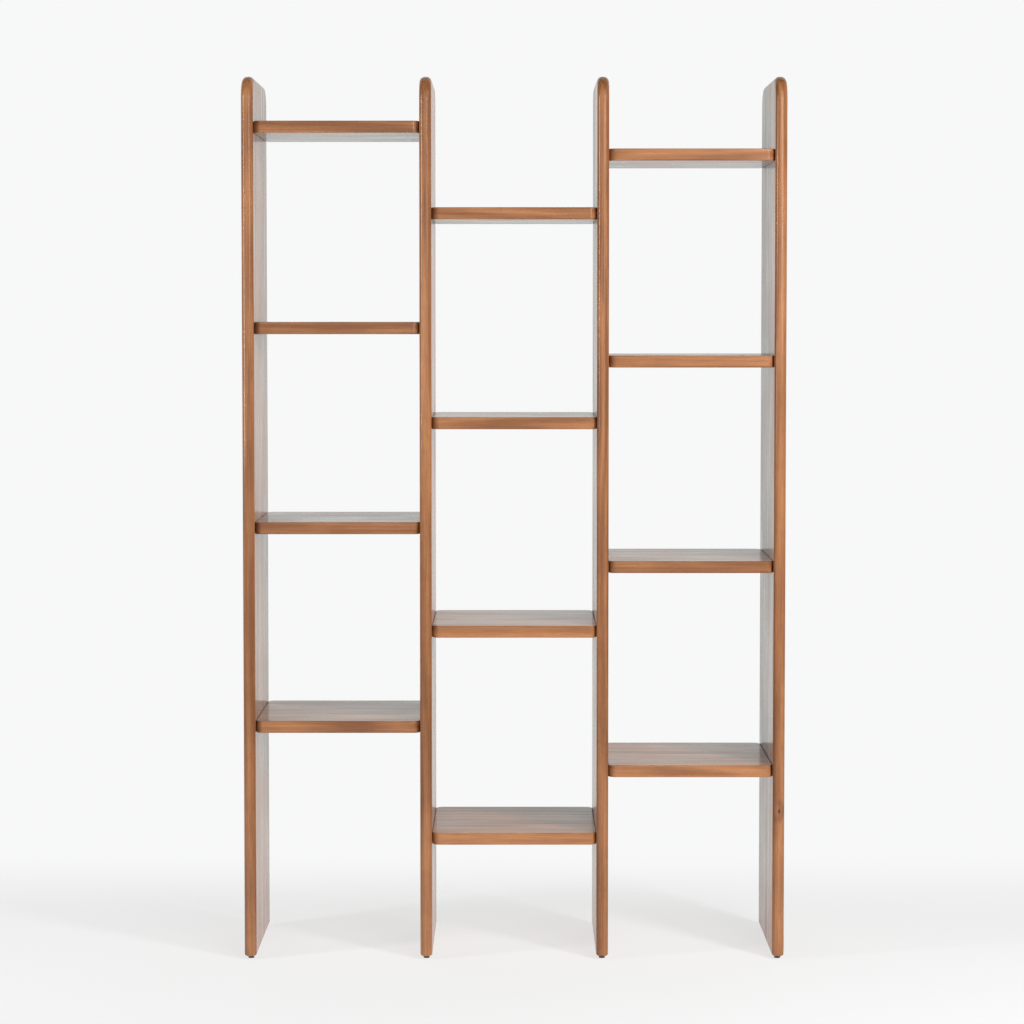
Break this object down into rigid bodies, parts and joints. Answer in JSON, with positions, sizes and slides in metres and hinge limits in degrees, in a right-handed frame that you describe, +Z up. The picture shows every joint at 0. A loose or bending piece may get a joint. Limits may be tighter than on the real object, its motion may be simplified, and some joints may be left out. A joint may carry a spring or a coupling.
{
  "type": "bookcase",
  "caption": "Tall open free-standing bookcase: four rounded upright boards carry three bays of staggered fixed shelves, on small levelling feet.",
  "frame": {"origin": "on the floor, in the middle of the footprint", "axes": "+X to the right along the width, +Y to the back, +Z up; the front faces -Y"},
  "size_m": [1.219, 0.356, 1.9885],
  "materials": {
    "stained_hardwood": "satin varnish over warm brown stain",
    "beech": "raw, fluted",
    "zinc_steel": "zinc plated",
    "blackened_steel": "black zinc plated",
    "black_nylon": "moulded, matt"
  },
  "bodies": {
    "bookcase": {"left_outer_upright": "stained_hardwood", "left_inner_upright": "stained_hardwood", "right_inner_upright": "stained_hardwood", "right_outer_upright": "stained_hardwood", "left_shelf_1": "stained_hardwood", "left_shelf_2": "stained_hardwood", "left_shelf_3": "stained_hardwood", "left_shelf_4": "stained_hardwood", "centre_shelf_1": "stained_hardwood", "centre_shelf_2": "stained_hardwood", "centre_shelf_3": "stained_hardwood", "centre_shelf_4": "stained_hardwood", "right_shelf_1": "stained_hardwood", "right_shelf_2": "stained_hardwood", "right_shelf_3": "stained_hardwood", "right_shelf_4": "stained_hardwood", "left_bay_dowels": "beech", "left_bay_cam_bolts": "zinc_steel", "left_bay_cams": "zinc_steel", "centre_bay_dowels": "beech", "centre_bay_cam_bolts": "zinc_steel", "centre_bay_cams": "zinc_steel", "right_bay_dowels": "beech", "right_bay_cam_bolts": "zinc_steel", "right_bay_cams": "zinc_steel", "foot_inserts": "zinc_steel"},
    "left_outer_front_pad": {"left_outer_front_foot_pad": "black_nylon"},
    "left_outer_front_stud": {"left_outer_front_foot_stud": "blackened_steel"},
    "left_outer_back_pad": {"left_outer_back_foot_pad": "black_nylon"},
    "left_outer_back_stud": {"left_outer_back_foot_stud": "blackened_steel"},
    "left_inner_front_pad": {"left_inner_front_foot_pad": "black_nylon"},
    "left_inner_front_stud": {"left_inner_front_foot_stud": "blackened_steel"},
    "left_inner_back_pad": {"left_inner_back_foot_pad": "black_nylon"},
    "left_inner_back_stud": {"left_inner_back_foot_stud": "blackened_steel"},
    "right_inner_front_pad": {"right_inner_front_foot_pad": "black_nylon"},
    "right_inner_front_stud": {"right_inner_front_foot_stud": "blackened_steel"},
    "right_inner_back_pad": {"right_inner_back_foot_pad": "black_nylon"},
    "right_inner_back_stud": {"right_inner_back_foot_stud": "blackened_steel"},
    "right_outer_front_pad": {"right_outer_front_foot_pad": "black_nylon"},
    "right_outer_front_stud": {"right_outer_front_foot_stud": "blackened_steel"},
    "right_outer_back_pad": {"right_outer_back_foot_pad": "black_nylon"},
    "right_outer_back_stud": {"right_outer_back_foot_stud": "blackened_steel"}
  },
  "joints": [
    {"name": "left_outer_front_foot_slide", "type": "slide", "parent": "bookcase", "child": "left_outer_front_pad", "axis": [0, 0, -1], "range_m": [0, 0.008]},
    {"name": "left_outer_front_stud_turn", "type": "hinge", "parent": "left_outer_front_pad", "child": "left_outer_front_stud", "pos_m": [-0.596, -0.152, 0.0075], "axis": [0, 0, -1], "range_deg": [0, 2880]},
    {"name": "left_outer_back_foot_slide", "type": "slide", "parent": "bookcase", "child": "left_outer_back_pad", "axis": [0, 0, -1], "range_m": [0, 0.008]},
    {"name": "left_outer_back_stud_turn", "type": "hinge", "parent": "left_outer_back_pad", "child": "left_outer_back_stud", "pos_m": [-0.596, 0.152, 0.0075], "axis": [0, 0, -1], "range_deg": [0, 2880]},
    {"name": "left_inner_front_foot_slide", "type": "slide", "parent": "bookcase", "child": "left_inner_front_pad", "axis": [0, 0, -1], "range_m": [0, 0.008]},
    {"name": "left_inner_front_stud_turn", "type": "hinge", "parent": "left_inner_front_pad", "child": "left_inner_front_stud", "pos_m": [-0.19867, -0.152, 0.0075], "axis": [0, 0, -1], "range_deg": [0, 2880]},
    {"name": "left_inner_back_foot_slide", "type": "slide", "parent": "bookcase", "child": "left_inner_back_pad", "axis": [0, 0, -1], "range_m": [0, 0.008]},
    {"name": "left_inner_back_stud_turn", "type": "hinge", "parent": "left_inner_back_pad", "child": "left_inner_back_stud", "pos_m": [-0.19867, 0.152, 0.0075], "axis": [0, 0, -1], "range_deg": [0, 2880]},
    {"name": "right_inner_front_foot_slide", "type": "slide", "parent": "bookcase", "child": "right_inner_front_pad", "axis": [0, 0, -1], "range_m": [0, 0.008]},
    {"name": "right_inner_front_stud_turn", "type": "hinge", "parent": "right_inner_front_pad", "child": "right_inner_front_stud", "pos_m": [0.19867, -0.152, 0.0075], "axis": [0, 0, -1], "range_deg": [0, 2880]},
    {"name": "right_inner_back_foot_slide", "type": "slide", "parent": "bookcase", "child": "right_inner_back_pad", "axis": [0, 0, -1], "range_m": [0, 0.008]},
    {"name": "right_inner_back_stud_turn", "type": "hinge", "parent": "right_inner_back_pad", "child": "right_inner_back_stud", "pos_m": [0.19867, 0.152, 0.0075], "axis": [0, 0, -1], "range_deg": [0, 2880]},
    {"name": "right_outer_front_foot_slide", "type": "slide", "parent": "bookcase", "child": "right_outer_front_pad", "axis": [0, 0, -1], "range_m": [0, 0.008]},
    {"name": "right_outer_front_stud_turn", "type": "hinge", "parent": "right_outer_front_pad", "child": "right_outer_front_stud", "pos_m": [0.596, -0.152, 0.0075], "axis": [0, 0, -1], "range_deg": [0, 2880]},
    {"name": "right_outer_back_foot_slide", "type": "slide", "parent": "bookcase", "child": "right_outer_back_pad", "axis": [0, 0, -1], "range_m": [0, 0.008]},
    {"name": "right_outer_back_stud_turn", "type": "hinge", "parent": "right_outer_back_pad", "child": "right_outer_back_stud", "pos_m": [0.596, 0.152, 0.0075], "axis": [0, 0, -1], "range_deg": [0, 2880]}
  ],
  "couplings": [
    {"joint": "left_outer_front_stud_turn", "follows": "left_outer_front_foot_slide", "rad_per_m": 6283.2},
    {"joint": "left_outer_back_stud_turn", "follows": "left_outer_back_foot_slide", "rad_per_m": 6283.2},
    {"joint": "left_inner_front_stud_turn", "follows": "left_inner_front_foot_slide", "rad_per_m": 6283.2},
    {"joint": "left_inner_back_stud_turn", "follows": "left_inner_back_foot_slide", "rad_per_m": 6283.2},
    {"joint": "right_inner_front_stud_turn", "follows": "right_inner_front_foot_slide", "rad_per_m": 6283.2},
    {"joint": "right_inner_back_stud_turn", "follows": "right_inner_back_foot_slide", "rad_per_m": 6283.2},
    {"joint": "right_outer_front_stud_turn", "follows": "right_outer_front_foot_slide", "rad_per_m": 6283.2},
    {"joint": "right_outer_back_stud_turn", "follows": "right_outer_back_foot_slide", "rad_per_m": 6283.2}
  ]
}
